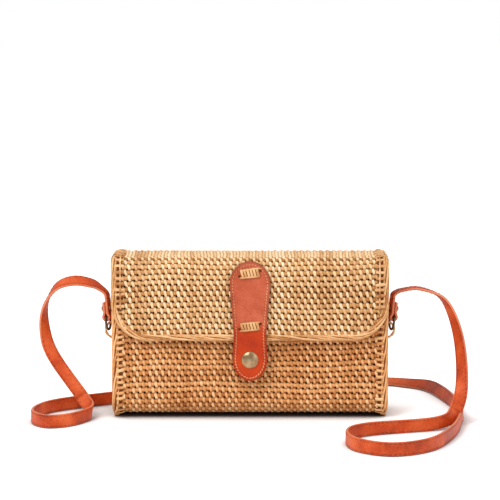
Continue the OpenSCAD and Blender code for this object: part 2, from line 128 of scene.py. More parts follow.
class Value:
    """A shader socket that Python operators work on."""

    def __init__(self, owner, socket):
        self.owner, self.socket = owner, socket

    def maths(self, operation, other, swapped=False):
        pair = (other, self) if swapped else (self, other)
        return self.owner.node("ShaderNodeMath", {"operation": operation}, {0: pair[0], 1: pair[1]})

    def __add__(self, other):
        return self.maths("ADD", other)

    def __radd__(self, other):
        return self.maths("ADD", other, True)

    def __sub__(self, other):
        return self.maths("SUBTRACT", other)

    def __rsub__(self, other):
        return self.maths("SUBTRACT", other, True)

    def __mul__(self, other):
        return self.maths("MULTIPLY", other)

    def __rmul__(self, other):
        return self.maths("MULTIPLY", other, True)

    def between(self, low, high):
        """0 below low and 1 above high, smooth in between."""
        return self.owner.node("ShaderNodeMapRange", {"interpolation_type": "SMOOTHSTEP"},
                               {0: self, 1: low, 2: high, 3: 0.0, 4: 1.0})


def tint(red, green, blue):
    """A colour from its display values, 0 to 255."""
    return tuple((c / 255 / 12.92) if c < 10 else ((c / 255 + 0.055) / 1.055) ** 2.4
                 for c in (red, green, blue)) + (1.0,)


class Nodes:
    """A tree of shader nodes."""

    def __init__(self, tree):
        self.tree = tree

    def node(self, kind, settings, inputs, output=0):
        made = self.tree.nodes.new(kind)
        for key, value in settings.items():
            if key == "stops":
                ramp = made.color_ramp.elements
                while len(ramp) < len(value):
                    ramp.new(0.5)
                for stop, (place, colour) in zip(ramp, value):
                    stop.position, stop.color = place, colour
            else:
                setattr(made, key, value)
        for key, value in inputs.items():
            if isinstance(value, Value):
                self.tree.links.new(value.socket, made.inputs[key])
            else:
                made.inputs[key].default_value = value
        return Value(self, made.outputs[output])

    def ray(self, kind):
        """1 for rays of one kind, such as those that the camera sends, and 0 for others."""
        return self.node("ShaderNodeLightPath", {}, {}, kind)


class Finish(Nodes):
    """A material made of nodes."""

    def __init__(self, name, **constants):
        self.material = bpy.data.materials.new(name)
        self.material.use_nodes = True
        super().__init__(self.material.node_tree)
        self.shader = self.tree.nodes["Principled BSDF"]
        for socket, value in constants.items():
            self.shader.inputs[socket.replace("_", " ")].default_value = value

    def place(self):
        return self.node("ShaderNodeTexCoord", {}, {}, "Object")

    def stretched(self, scale):
        """Object coordinates with each axis scaled."""
        return self.node("ShaderNodeMapping", {}, {"Vector": self.place(), "Scale": scale})

    def noise(self, where, scale, detail=2.0, rough=0.5):
        return self.node("ShaderNodeTexNoise", {}, {"Vector": where, "Scale": scale, "Detail": detail,
                                                    "Roughness": rough})

    def mark(self, name):
        """A number that the piece stores at each point."""
        return self.node("ShaderNodeAttribute", {"attribute_name": name}, {}, "Fac")

    def ramp(self, value, stops):
        return self.node("ShaderNodeValToRGB", {"stops": stops}, {0: value})

    def mixed(self, share, first, second, blend="MIX"):
        return self.node("ShaderNodeMix", {"data_type": "RGBA", "blend_type": blend},
                         {0: share, 6: first, 7: second}, 2)

    def feed(self, socket, value):
        self.tree.links.new(value.socket, self.shader.inputs[socket])

    def bump(self, height, strength, distance):
        self.feed("Normal", self.node("ShaderNodeBump", {}, {"Strength": strength, "Distance": distance,
                                                             "Height": height}))


# Colour of the painted shade in the weave's gaps and where strands dive behind others
PAINTED_SHADE = tint(112, 52, 10)


def straw_finish(name, pale, mid, dark):
    """Split rattan: fibres along the strand, a tone for each strand, and painted shade where it dives or
    lies in a gap.
    """
    f = Finish(name, Specular_IOR_Level=0.15)
    patch = f.noise(f.place(), 260.0, 3.0, 0.6)
    broad = f.noise(f.place(), 28.0, 2.0)
    fibre = f.noise(f.stretched((2600.0, 2600.0, 320.0)), 1.0, 3.0, 0.6)
    tone = 0.42 * f.mark("tone") + 0.55 * patch + 0.45 * broad + 0.2 * fibre - 0.34
    colour = f.ramp(tone, [(0.12, tint(*dark)), (0.45, tint(*mid)), (0.8, tint(*pale))])
    # Painted shade: the colour turns towards the shade colour as far as the piece's mark says
    f.feed("Base Color", f.mixed(f.mark("sunk"), colour, PAINTED_SHADE))
    f.feed("Roughness", 0.5 + 0.25 * patch)
    f.bump(fibre, 0.35, 0.0003)
    return f.material


def leather_finish(name, colour, dark, worn, edge=(104, 42, 24)):
    """Smooth veg-tanned leather: fine grain, soft blotches, and the edge colour where the piece's mark says:
    a darker edge on the tab, a pale painted highlight on the strap's edges.
    """
    f = Finish(name, Specular_IOR_Level=0.25)
    blotch = f.noise(f.place(), 45.0, 4.0, 0.6)
    speck = f.noise(f.place(), 900.0, 2.0)
    grain = f.node("ShaderNodeTexVoronoi", {"feature": "DISTANCE_TO_EDGE"},
                   {"Vector": f.place(), "Scale": 1500.0}, "Distance")
    tone = 0.75 * blotch + 0.25 * speck
    faced = f.ramp(tone, [(0.36, tint(*dark)), (0.5, tint(*colour)), (0.64, tint(*worn))])
    # The colour turns towards the edge colour as far as the piece's mark says
    f.feed("Base Color", f.mixed(0.85 * f.mark("sunk"), faced, tint(*edge)))
    f.feed("Roughness", 0.32 + 0.3 * blotch)
    f.bump(grain.between(0.0, 0.12), 0.25, 0.0001)
    return f


def metal_finish(name, pale, dark, rough):
    """Brushed metal with a darker patina."""
    f = Finish(name, Metallic=1.0)
    patina = f.noise(f.place(), 220.0, 4.0, 0.65)
    scratch = f.noise(f.stretched((300.0, 300.0, 5000.0)), 1.0, 2.0)
    tone = 0.8 * patina + 0.2 * scratch
    f.feed("Base Color", f.ramp(tone, [(0.3, tint(*dark)), (0.62, tint(*pale))]))
    f.feed("Roughness", rough + 0.2 * patina)
    f.bump(scratch, 0.08, 0.00005)
    return f.material


def cotton_finish(name, colour, dark):
    """Plain-woven cotton."""
    f = Finish(name, Specular_IOR_Level=0.2, Sheen_Weight=0.15)
    warp = f.node("ShaderNodeTexWave", {"wave_type": "BANDS", "bands_direction": "X"},
                  {"Vector": f.place(), "Scale": 420.0, "Distortion": 0.6})
    weft = f.node("ShaderNodeTexWave", {"wave_type": "BANDS", "bands_direction": "Z"},
                  {"Vector": f.place(), "Scale": 420.0, "Distortion": 0.6})
    slub = f.noise(f.place(), 90.0, 3.0)
    cloth = 0.35 * warp + 0.35 * weft + 0.3 * slub
    f.feed("Base Color", f.ramp(cloth, [(0.25, tint(*dark)), (0.75, tint(*colour))]))
    f.feed("Roughness", 0.8 + 0.15 * slub)
    f.bump(cloth, 0.4, 0.0002)
    return f.material


# The flap's straw is a paler copy of the body's: painted light on the flap, which faces more upwards, and
# painted shade on the body below it
flap_straw_painted_light = straw_finish("flap_straw_painted_light", (255, 234, 196), (248, 208, 158), (202, 144, 88))
body_straw_painted_shade = straw_finish("body_straw_painted_shade", (255, 214, 164), (243, 183, 124), (188, 118, 60))
cane = straw_finish("cane", (252, 214, 164), (224, 168, 112), (162, 98, 46))
edge_straw = straw_finish("edge_straw", (255, 212, 156), (234, 170, 110), (176, 108, 54))
# The rods are darker than the stakes as painted shade, for they lie recessed between the stakes
flap_rod_painted_shade = straw_finish("flap_rod_painted_shade", (228, 178, 120), (200, 144, 86), (142, 82, 32))
body_rod_painted_shade = straw_finish("body_rod_painted_shade", (238, 176, 114), (214, 142, 80), (154, 85, 34))
# The strap's pale edge colour is a painted highlight along its edges
strap_leather = leather_finish("strap_leather", (208, 80, 30), (172, 58, 18), (228, 106, 54),
                               (226, 140, 104)).material
brass = metal_finish("antique_brass", (186, 158, 120), (104, 80, 54), 0.2)
iron = metal_finish("dark_wire", (120, 92, 78), (70, 48, 40), 0.35)
# The cotton's dark brown is partly its own colour and partly painted shade, for it shows through the weave's
# gaps
cotton = cotton_finish("brown_cotton", (96, 52, 26), (58, 28, 12))
thread = leather_finish("stitch_thread", (230, 148, 102), (200, 112, 70),
                        (246, 184, 140)).material
dark_thread = leather_finish("strap_stitch_thread", (158, 60, 26), (128, 44, 16),
                             (200, 100, 56)).material


# Heights in metres over which the tab's lower orange gives way to its paler upper part, a painted sheen
TAB_SHEEN_FADE = (0.066, 0.078)


def tab_finish():
    """Leather that is paler and pinker towards its upper end, a painted sheen of light from above, and more
    orange towards its lower end.
    """
    f = leather_finish("tab_leather", (192, 88, 56), (168, 70, 40), (208, 106, 76))
    height = f.node("ShaderNodeSeparateXYZ", {}, {0: f.place()}, "Z")
    warm = f.shader.inputs["Base Color"].links[0].from_socket
    high = height.between(*TAB_SHEEN_FADE)
    f.feed("Base Color", f.mixed(1.0 - high, Value(f, warm), tint(250, 166, 30), "MULTIPLY"))
    return f.material


tab_leather = tab_finish()


# Outlines seen from the end of the bag, as points in Y and Z
def front_y(z):
    """Where the leaning front lies at a height."""
    return -BAG_D / 2 + FRONT_LEAN * (z - FOOT) / (BAG_H - FOOT)


def bent(corners, radii, parts=10):
    """An open outline with its inner corners rounded."""
    line = [Vector(corners[0])]
    for before, corner, after, radius in zip(corners, corners[1:], corners[2:], radii):
        corner = Vector(corner)
        a = (Vector(before) - corner).normalized()
        b = (Vector(after) - corner).normalized()
        half = a.angle(b) / 2
        middle = corner + (a + b).normalized() * radius / math.sin(half)
        first = corner + a * radius / math.tan(half) - middle
        turn = math.copysign(math.pi - 2 * half, -a.x * b.y + a.y * b.x)
        line += [middle + Matrix.Rotation(turn * k / parts, 2) @ first for k in range(parts + 1)]
    return line + [Vector(corners[-1])]


def fine(points, step):
    """The same line with points no further apart than step."""
    line = [points[0]]
    for a, b in zip(points, points[1:]):
        parts = max(1, math.ceil((b - a).length / step))
        line += [a.lerp(b, k / parts) for k in range(1, parts + 1)]
    return line


def steps(first, last, parts):
    """Numbers from first to last in even parts."""
    return [first + (last - first) * k / parts for k in range(parts + 1)]


def lengths(points):
    """How far along a line each of its points lies."""
    marks = [0.0]
    for a, b in zip(points, points[1:]):
        marks.append(marks[-1] + (b - a).length)
    return marks


def heading(path, i):
    """The direction of a path at one of its points."""
    return (path[min(i + 1, len(path) - 1)] - path[max(i - 1, 0)]).normalized()


def powered(value, power):
    """A power of a number that keeps its sign."""
    return math.copysign(abs(value) ** power, value)


def corner_reach(radius, past, least=0.0):
    """How far a rounded corner still reaches at a distance past its start."""
    return math.sqrt(max(radius ** 2 - past ** 2, least))


class Outline:
    """A line on the bag's section, measured along its length, with its outward side on the right."""

    def __init__(self, points):
        self.points = points
        self.marks = lengths(points)
        self.length = self.marks[-1]

    def at(self, s):
        """The point at s and the outward direction there."""
        i = next((k for k in range(1, len(self.marks) - 1) if s < self.marks[k]), len(self.marks) - 1) - 1
        t = (self.points[i + 1] - self.points[i]).normalized()
        place = self.points[i] + t * (s - self.marks[i])
        ahead = self.points[min(i + 2, len(self.points) - 1)] - self.points[i + 1]
        behind = self.points[i] - self.points[max(i - 1, 0)]
        share = (s - self.marks[i]) / max(self.marks[i + 1] - self.marks[i], 1e-9)
        near = ahead if share > 0.5 else behind
        if near.length > 1e-6 and near.normalized().dot(t) > 0.5:
            t = t.lerp(near.normalized(), abs(share - 0.5)).normalized()
        return place, Vector((t.y, -t.x))

    def spot(self, x, s, out):
        """A point in the bag's frame: x across, s along the line, out from the surface."""
        place, side = self.at(s)
        place = place + side * out
        return Vector((x, place.x + CENTRE_Y, place.y))


body_line = Outline(bent([(front_y(MOUTH_Z), MOUTH_Z), (front_y(FOOT), FOOT), (BAG_D / 2, FOOT),
                          (BAG_D / 2, BAG_H), (HINGE_Y, BAG_H)], [BOTTOM_R, BOTTOM_R, BACK_R]))
flap_front = front_y(BAG_H) - FLAP_OUT / math.cos(LEAN)
flap_low = front_y(FLAP_Z) - FLAP_OUT / math.cos(LEAN)
flap_line = Outline(bent([(HINGE_Y + HINGE_LAP, BAG_H), (flap_front, BAG_H), (flap_low, FLAP_Z)], [FLAP_R]))
TAB_LINE_Z = 20.0
tab_low = front_y(TAB_LINE_Z) - FLAP_OUT / math.cos(LEAN)
tab_line = Outline(bent([(HINGE_Y, BAG_H), (flap_front, BAG_H), (tab_low, TAB_LINE_Z)], [FLAP_R]))


# Building tools: a tube through rings of points, and the finished piece
SEAM = 0.0005


def oval(centre, wide, high, width, height, sides, square=2.0):
    """A ring of points around centre, rounded from an oval towards a rectangle."""
    ring = []
    for k in range(sides):
        angle = 2 * math.pi * (k + 0.5) / sides
        c, s = math.cos(angle), math.sin(angle)
        ring.append(centre + wide * (width / 2 * powered(c, 2 / square))
                    + high * (height / 2 * powered(s, 2 / square)))
    return ring


def tube(bm, rings, tone=0.5, sunk=None, around=None):
    """Lays a skin through rings of points and closes its ends to a point."""
    count = len(rings[0])
    middles = [sum(r, Vector()) / count for r in (rings[0], rings[-1])]
    rows = [[middles[0]] * count] + rings + [[middles[1]] * count]
    depth = [0.0] * len(rings) if sunk is None else sunk
    depth = [depth[0]] + depth + [depth[-1]]
    made = bmesh.ops.create_grid(bm, x_segments=len(rows) - 1, y_segments=count, size=1.0)["verts"]
    tones = bm.verts.layers.float["tone"]
    shade_and_edge_layer = bm.verts.layers.float["sunk"]
    for v in made:
        i = round((v.co.x + 1) / 2 * (len(rows) - 1))
        j = round((v.co.y + 1) / 2 * count) % count
        v.co = rows[i][j]
        v[tones] = tone
        # The mark: painted shade on straw pieces, the edge colour on leather ones
        v[shade_and_edge_layer] = max(depth[i], around[j]) if around else depth[i]


def fresh():
    bm = bmesh.new()
    bm.verts.layers.float.new("tone")
    bm.verts.layers.float.new("sunk")
    return bm


def finished(name, bm, material, body, replaced=()):
    """Merges the seams, turns the faces outwards and makes the object, in metres."""
    bmesh.ops.remove_doubles(bm, verts=bm.verts, dist=SEAM)
    bmesh.ops.recalc_face_normals(bm, faces=bm.faces)
    bmesh.ops.scale(bm, vec=(MM, MM, MM), verts=bm.verts)
    for face in bm.faces:
        face.smooth = True
    mesh = bpy.data.meshes.new(name)
    bm.to_mesh(mesh)
    bm.free()
    piece = bpy.data.objects.new(name, mesh)
    bpy.context.scene.collection.objects.link(piece)
    mesh.materials.append(material)
    if body:
        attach(piece, body)
    if replaced:
        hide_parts(*replaced)
    return piece


def swept(bm, path, wide_of, width, height, sides, tone=0.5, sunk=None, square=2.0, around=None):
    """A strand of oval section along a path, its width kept along a given direction."""
    rings = []
    for i, place in enumerate(path):
        along = heading(path, i)
        wide = wide_of(i) if callable(wide_of) else wide_of
        wide = (wide - along * wide.dot(along)).normalized()
        rings.append(oval(place, wide, along.cross(wide), width, height, sides, square))
    tube(bm, rings, tone, sunk, around)


# Strap: its middle line from the left ring to the right ring, and its width direction
STRAP_ROUTE = [
    (-109.7, 5.1, 89.2, 0.2, 1, 0), (-110.6, 5.1, 92.5, 0.2, 1, 0), (-114.3, 5, 96, 0.15, 1, 0.15),
    (-122, 5, 100.3, 0, 0.85, 0.5), (-136, 5, 102.2, 0, 0.8, 0.6), (-149, 4, 97.3, 0, 0.9, 0.4),
    (-157.3, 3, 83, 0.25, 0.95, 0.15), (-157.6, 1, 64, 0.7, 0.7, 0), (-151, -2, 45, 0.95, 0.3, 0.25),
    (-129, -9, 15, 0.7, 0.05, 0.7), (-121.5, -18, 6.2, 0.25, 0.15, 0.95), (-123, -34, 5.3, 0, 0, 1),
    (-135, -54, 5.3, 0, 0, 1), (-151, -60, 5.3, 0, 0, 1), (-163, -43, 5.3, 0, 0, 1),
    (-162, -19, 5.3, 0, 0, 1), (-148, 6, 5.3, 0, 0, 1), (-104, 38.5, 5.2, -0.05, 0.2, 0.97),
    (-70, 56, 4.8, -0.3, 0.55, 0.75), (15, 98, 3.2, -0.3, 0.9, 0.3), (98, 121, 3.2, 0.05, 0.95, 0.3),
    (130, 111, 3.6, 0.5, 0.7, 0.5), (149, 82, 4.9, 0.55, 0.3, 0.8),
    (161, -5, 5.3, 0, 0, 1), (157, -52, 5.3, 0, 0, 1), (146, -101, 5.3, 0, 0, 1),
    (127, -143, 5.3, 0, 0, 1), (99, -160, 5.3, 0, 0, 1), (75, -143, 5.3, 0, 0, 1),
    (70, -112, 5.3, 0, 0, 1), (86, -89, 5.3, 0, 0, 1), (138, -68, 5.6, 0, 0, 1),
    (153.5, -51, 12, -0.5, 0.3, 0.75), (160, -33, 31, -0.75, 0.65, 0.1), (158.5, -15, 63, -0.6, 0.8, 0),
    (148.5, -3, 88.2, -0.35, 0.95, 0), (131, 2.5, 96.4, 0, 1, 0), (116.7, 4.8, 95, -0.1, 1, 0),
    (110.8, 5.1, 92.2, -0.2, 1, 0), (109.7, 5.1, 89.2, -0.2, 1, 0)]
ROUTE_STEPS = 8
LEAD_LEFT = 9
LEAD_RIGHT = 32
# A lead lies still at the first place and follows its ring from the second place on
LEAD_BLENDS = {"left": ((-110, 16, 34), (-128, 11, 82)), "right": ((153.5, -51, 12), (109.7, 5.1, 89.2))}


def route():
    """The strap's places and width directions on one smooth curve."""
    rows = [[float(c) for c in row] for row in STRAP_ROUTE]
    spots = []
    for i in range(len(rows) - 1):
        a, b, c, d = rows[max(i - 1, 0)], rows[i], rows[i + 1], rows[min(i + 2, len(rows) - 1)]
        for k in range(ROUTE_STEPS):
            t = k / ROUTE_STEPS
            spots.append([0.5 * (2 * q + (r - p) * t + (2 * p - 5 * q + 4 * r - s) * t ** 2
                                 + (3 * q - p - 3 * r + s) * t ** 3) for p, q, r, s in zip(a, b, c, d)])
    spots.append(rows[-1])
    return [(Vector(s[:3]), Vector(s[3:])) for s in spots]


strap_route = route()
strap_places = [place for place, _ in strap_route]


def strap_frame(i):
    """Along, width and face directions of the strap at a route point."""
    along = heading(strap_places, i)
    wide = strap_route[i][1]
    wide = (wide - along * wide.dot(along)).normalized()
    return along, wide, along.cross(wide)


STRAP_SIDES = 16
STRAP_SQUARE = 7.0
# The strap's narrow sides, which take the leather's edge colour: on the strap a pale painted highlight
STRAP_EDGE_HIGHLIGHT = [1.0 if abs(math.cos(2 * math.pi * (k + 0.5) / STRAP_SIDES)) > 0.9 else 0.0
              for k in range(STRAP_SIDES)]


def strap_section(place, wide, face):
    return oval(place, wide, face, STRAP_W, STRAP_T, STRAP_SIDES, STRAP_SQUARE)


def strap_skin(first, last):
    bm = fresh()
    rings = [strap_section(strap_places[i], *strap_frame(i)[1:]) for i in range(first, last + 1)]
    tube(bm, rings, around=STRAP_EDGE_HIGHLIGHT)
    return bm


STITCH_PITCH = 3.3
STITCH_LONG = 2.3
STITCH_IN = 3.7
STITCH_SINK = 0.2
STITCH_ARCH = 0.14
STITCH_STEPS = (-0.5, -0.25, 0.0, 0.25, 0.5)
THREAD_W = 0.75
THREAD_T = 0.5
THREAD_SIDES = 5


def strap_stitches(first, last):
    """Threads along both edges, on both faces."""
    bm = fresh()
    gone = 0.0
    for i in range(first, last):
        a, b = strap_places[i], strap_places[i + 1]
        step = (b - a).length
        while gone < step:
            share = gone / step
            place = a.lerp(b, share)
            along, wide, face = (here.lerp(there, share).normalized()
                                 for here, there in zip(strap_frame(i), strap_frame(i + 1)))
            for edge in (-STITCH_IN, STITCH_IN):
                for side in (-1, 1):
                    base = place + wide * edge + face * side * (STRAP_T / 2 - STITCH_SINK)
                    path = [base + along * STITCH_LONG * u + face * side * STITCH_ARCH * (1 - (2 * u) ** 2)
                            for u in STITCH_STEPS]
                    swept(bm, path, wide, THREAD_W, THREAD_T, THREAD_SIDES, random.Random(i).random())
            gone += STITCH_PITCH
        gone -= step
    return bm


lead_a, lead_b = LEAD_LEFT * ROUTE_STEPS, LEAD_RIGHT * ROUTE_STEPS
strap = finished("strap_band", strap_skin(lead_a, lead_b), strap_leather, "basket", ["strap"])
strap_thread = finished("strap_thread", strap_stitches(lead_a, lead_b), dark_thread, "basket")
strap_path = [place * MM for place in strap_places[lead_a:lead_b + 1]]
strap_length = lengths(strap_path)[-1]
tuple(strap_path[0])
for name, first, last in (("left", 0, lead_a), ("right", lead_b, len(strap_places) - 1)):
    start, end = (Vector(place) * MM for place in LEAD_BLENDS[name])
    for title, build, finish in (("strap_lead_", strap_skin, strap_leather),
                                 ("strap_lead_thread_", strap_stitches, dark_thread)):
        lead = finished(title + name, build(first, last), finish, None)
        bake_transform(lead, "basket", name + "_ring", start=start, end=end)


# Weave: stakes that dive over and under flattened rods
STAKE_PITCH = 2.45
STAKE_W = 2.2
STAKE_T = 0.95
ROD_H = 3.15
ROD_T = 2.0
ROD_DEPTH = -1.1
ROD_LIFT = 0.3
ROD_BULGE = 0.1
WEAVE_MID = -0.955
SWING = 1.375
FLAT_OVER = 0.5
SWAY = 0.5
# Painted shade on a stake starts this far behind the surface and is full this much further in
SHADE_FROM = -0.35
SHADE_OVER = 1.3
RINGS_PER_ROW = 4
# Painted shade around a rod's section: none on its outer face, some towards the rods above and below, full
# on its inner face
ROD_SHADE = [0.0, 0.55, 1.0, 1.0, 0.55, 0.0]


def weave_offset(s, phase, pitch):
    """How far out of the surface a stake runs: flat over a rod, and quick between the rods."""
    c = math.cos(math.pi * (s / pitch - 0.5 + phase))
    return WEAVE_MID + SWING * powered(c, FLAT_OVER)


def painted_shade_at(out):
    """How much painted shade a stake gets where it dives behind a rod."""
    return max(0.0, min(1.0, (SHADE_FROM - out) / SHADE_OVER))


def stakes(bm, spot, xs, ends, pitch, dice, flat=RIGHT, parity=0):
    """One stake for each x, from ends(x)[0] to ends(x)[1] along the surface."""
    for index, x in enumerate(xs):
        low, high = ends(x)
        phase = (index + parity) % 2
        count = max(2, round((high - low) / pitch * RINGS_PER_ROW))
        sway = [dice.uniform(-0.2, 0.2) for _ in range(count // RINGS_PER_ROW + 3)]
        scale = dice.uniform(0.9, 1.1)
        path, depth = [], []
        for k in range(count + 1):
            s = low + (high - low) * k / count
            out = weave_offset(s, phase, pitch)
            row = k / RINGS_PER_ROW
            drift = sway[int(row)] * (1 - row % 1) + sway[int(row) + 1] * (row % 1)
            drift += SWAY * math.sin(math.pi * (s / pitch - 0.5 + phase))
            path.append(spot(x + drift, s, out))
            # Painted shade where the stake runs behind the rods
            depth.append(painted_shade_at(out))
        swept(bm, path, flat, STAKE_W * scale, STAKE_T, 6, dice.random(), depth, 2.6)


def rods(bm, spot, count, pitch, span, xs, dice, parity=0):
    """One rod for each row, as wide as span(s) allows, pressed in by the stakes that cross it."""
    for row in range(count):
        s = (row + 0.5) * pitch - ROD_LIFT
        half = span(s)
        path = []
        for index, x in enumerate(xs):
            if abs(x) <= half:
                press = -ROD_BULGE if (row + index + parity) % 2 == 0 else ROD_BULGE
                path.append(spot(x, s + dice.uniform(-0.1, 0.1), ROD_DEPTH + press))
        if len(path) < 3:
            continue
        side = spot(0, s, 1) - spot(0, s, 0)
        tall = ROD_H * dice.uniform(0.95, 1.03)
        # The rod's sides get painted shade from ROD_SHADE
        swept(bm, path, side, ROD_T, tall, 6, dice.random(), None, 2.4, ROD_SHADE)


def hand_made(spot):
    """The same surface with rows and stakes that wander in slow waves, measured in millimetres."""
    def wandering(x, s, out):
        aside = 0.6 * math.sin(s / 19.0 + x / 41.0) + 0.25 * math.sin(s / 7.3 + x / 11.0)
        down = 0.85 * math.sin(x / 27.0 + 0.8 * math.sin(s / 23.0)) + 0.35 * math.sin(x / 8.1 + s / 9.7)
        return spot(x + aside, s + down, out)

    return wandering


def spread(half):
    """Places of evenly spaced stakes."""
    count = int(2 * half / STAKE_PITCH)
    step = 2 * half / count
    return [-half + (k + 0.5) * step for k in range(count)]


def even_pitch(length):
    return length / round(length / ROW_PITCH)


wrap_from = (MOUTH_Z - LINING_Z) / math.cos(LEAN)
bottom_to = body_line.marks[next(i for i, p in enumerate(body_line.points) if p.x >= BAG_D / 2 - 0.01)]
back_to = body_line.length - HINGE_LAP
UNDER_CANE = 0.8
body_half = WRAP_X + UNDER_CANE

dice = random.Random(4)
front_pitch = even_pitch(bottom_to - wrap_from)


@hand_made
def front_spot(x, s, out):
    return body_line.spot(x, wrap_from + s, out)


front_rows = round((bottom_to - wrap_from) / front_pitch)
body_x = spread(body_half)
bm = fresh()
stakes(bm, front_spot, body_x, lambda x: (0, bottom_to - wrap_from), front_pitch, dice)
finished("front_weave", bm, body_straw_painted_shade, "basket", ["woven_body"])

back_pitch = even_pitch(back_to - bottom_to)
back_rows = round((back_to - bottom_to) / back_pitch)


@hand_made
def back_spot(x, s, out):
    return body_line.spot(x, bottom_to + s, out)


bm = fresh()
stakes(bm, back_spot, body_x, lambda x: (0, back_to - bottom_to), back_pitch, dice, RIGHT, front_rows)
finished("back_weave", bm, body_straw_painted_shade, "basket")

bm = fresh()
rods(bm, front_spot, front_rows, front_pitch, lambda s: body_half, body_x, dice)
rods(bm, back_spot, back_rows, back_pitch, lambda s: body_half, body_x, dice, front_rows)
finished("body_rods", bm, body_rod_painted_shade, "basket")

# Flap: the same weave, cut to its rounded outline
flap_half = BAG_W / 2 - RIM_W / 2
flap_r = FLAP_CORNER_R - RIM_W / 2
flap_end = flap_line.length - RIM_W / 2
flap_pitch = even_pitch(flap_line.length)


def flap_reach(x):
    """Where a stake ends at the rounded lower edge."""
    past = max(0.0, abs(x) - (flap_half - flap_r))
    return flap_end - flap_r + corner_reach(flap_r, past)


def flap_span(s):
    past = max(0.0, s - (flap_end - flap_r))
    return 0.0 if past > flap_r else flap_half - flap_r + corner_reach(flap_r, past)


flap_x = spread(flap_half)
bm = fresh()
flap_spot = hand_made(flap_line.spot)
stakes(bm, flap_spot, flap_x, lambda x: (0, flap_reach(x)), flap_pitch, dice)
flap_weave = finished("flap_weave", bm, flap_straw_painted_light, None, ["flap"])
bm = fresh()
rods(bm, flap_spot, round(flap_end / flap_pitch), flap_pitch, flap_span, flap_x, dice)
flap_rods = finished("flap_rods", bm, flap_rod_painted_shade, None)
hinge_start = (0, (HINGE_Y + HINGE_LAP + CENTRE_Y) * MM, BAG_H * MM)
hinge_end = (0, (HINGE_Y - HINGE_BEND + CENTRE_Y) * MM, BAG_H * MM)
for piece in (flap_weave, flap_rods):
    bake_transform(piece, "basket", "flap", start=hinge_start, end=hinge_end)


# Bound rims: long canes twisted loosely along the edge, sewn down on their inner side
RIM_CANES = 7
RIM_CANE_W = 1.6
RIM_CANE_T = 1.5
CORE_IN = 1.6
TWIST = 95.0
BINDER_W = 2.5
BINDER_T = 0.8
RUNNER_REACH = 3.0
RUNNER_W = 1.5
RUNNER_T = 1.0
RIM_PITCH = 4.25
RIM_STEP = 2.0
FLAP_REACH = 4.4
EDGE_REACH = 2.2
SEWN_PAST = 6


class Edge:
    """A line on a surface, as points across and along it, with the way inwards on its right."""

    def __init__(self, spot, flat, middle):
        self.spot, self.flat, self.middle = spot, flat, middle
        self.path = [spot(p.x, p.y, middle) for p in flat]
        self.outs = [(spot(p.x, p.y, 1.0) - spot(p.x, p.y, 0.0)).normalized() for p in flat]
        self.marks = lengths(self.path)

    def wide(self, i):
        return self.outs[i].cross(heading(self.path, i)).normalized()

    def flat_at(self, s):
        """The place at s, across and along the surface, and the direction of the line there."""
        i = next((k for k in range(1, len(self.marks)) if s < self.marks[k]), len(self.marks) - 1) - 1
        share = (s - self.marks[i]) / max(self.marks[i + 1] - self.marks[i], 1e-9)
        t = (self.flat[i + 1] - self.flat[i]).normalized()
        return self.flat[i].lerp(self.flat[i + 1], share), t


def bound_rim(bm, edge, width, height, dice, inwards, reach, sewn=None):
    """Canes along an edge, whipped down into the weave where sewn(place) is true, over a core in painted
    shade and with dark pieces of painted shade in the gaps between.
    """
    # A core under the canes in painted shade, so that the lines between them look dark
    dark = [0.9] * len(edge.path)
    swept(bm, edge.path, edge.wide, width - CORE_IN, height - CORE_IN, 8, 0.2, dark, 3.0)
    for n in range(RIM_CANES):
        path = []
        start = dice.uniform(-0.2, 0.2)
        for i, place in enumerate(edge.path):
            angle = 2 * math.pi * (edge.marks[i] / TWIST + n / RIM_CANES) + start
            c, u = math.cos(angle), math.sin(angle)
            path.append(place + edge.wide(i) * (width / 2 - 0.72) * powered(c, 0.7)
                        + edge.outs[i] * (height / 2 - 0.8) * powered(u, 0.7))
        swept(bm, path, edge.wide, RIM_CANE_W * dice.uniform(0.9, 1.1), RIM_CANE_T, 8, dice.random())
    count = int(edge.marks[-1] / RIM_PITCH)
    top = edge.middle + height / 2
    inside = width / 2
    for n in range(count):
        place, along = edge.flat_at((n + 0.5) * edge.marks[-1] / count)
        lean = dice.uniform(-0.2, 0.05)
        if sewn and not sewn(place):
            continue
        inner = Vector((along.y, -along.x)) * inwards
        far = inside + reach + dice.uniform(-0.6, 0.6)
        wide = edge.spot(place.x + along.x, place.y + along.y, 0) - edge.spot(place.x, place.y, 0)
        # How far in from the edge, and how far out of the surface, a stitch runs
        stitch = ((0.6, top - 0.7), (1.1, top), (inside - 0.2, top), (inside + 1.0, RIDGE + 0.3),
                  (far - 0.4, RIDGE + 0.15), (far + 0.6, RIDGE - 0.5), (far + 1.0, RIDGE - 1.8))
        path = [edge.spot(q.x, q.y, out) for q, out in
                ((place + inner * far_in + along * far_in * lean, out) for far_in, out in stitch)]
        swept(bm, path, wide, BINDER_W * dice.uniform(0.85, 1.1), BINDER_T, 6, dice.random(), None, 2.6)
        # A dark piece in the gap between two stitches: painted shade
        gap = place + along * edge.marks[-1] / count / 2
        gap_shade = [edge.spot(q.x, q.y, RIDGE - 0.1) for q in
                  (gap + inner * far_in for far_in in (inside - 0.4, inside + reach / 2, far - 0.6))]
        swept(bm, gap_shade, wide, RIM_PITCH - BINDER_W + 0.5, 0.6, 6, 0.0, [1.0] * 3, 3.0)
        if reach > RUNNER_REACH:
            middle = place + inner * (inside + reach / 2)
            runner = [edge.spot(q.x, q.y, RIDGE + 0.55) for q in
                      (middle + along * RIM_PITCH * u for u in (-0.55, 0.0, 0.55))]
            across = edge.spot(place.x + inner.x, place.y + inner.y, 0) - edge.spot(place.x, place.y, 0)
            swept(bm, runner, across, RUNNER_W, RUNNER_T, 6, dice.random())


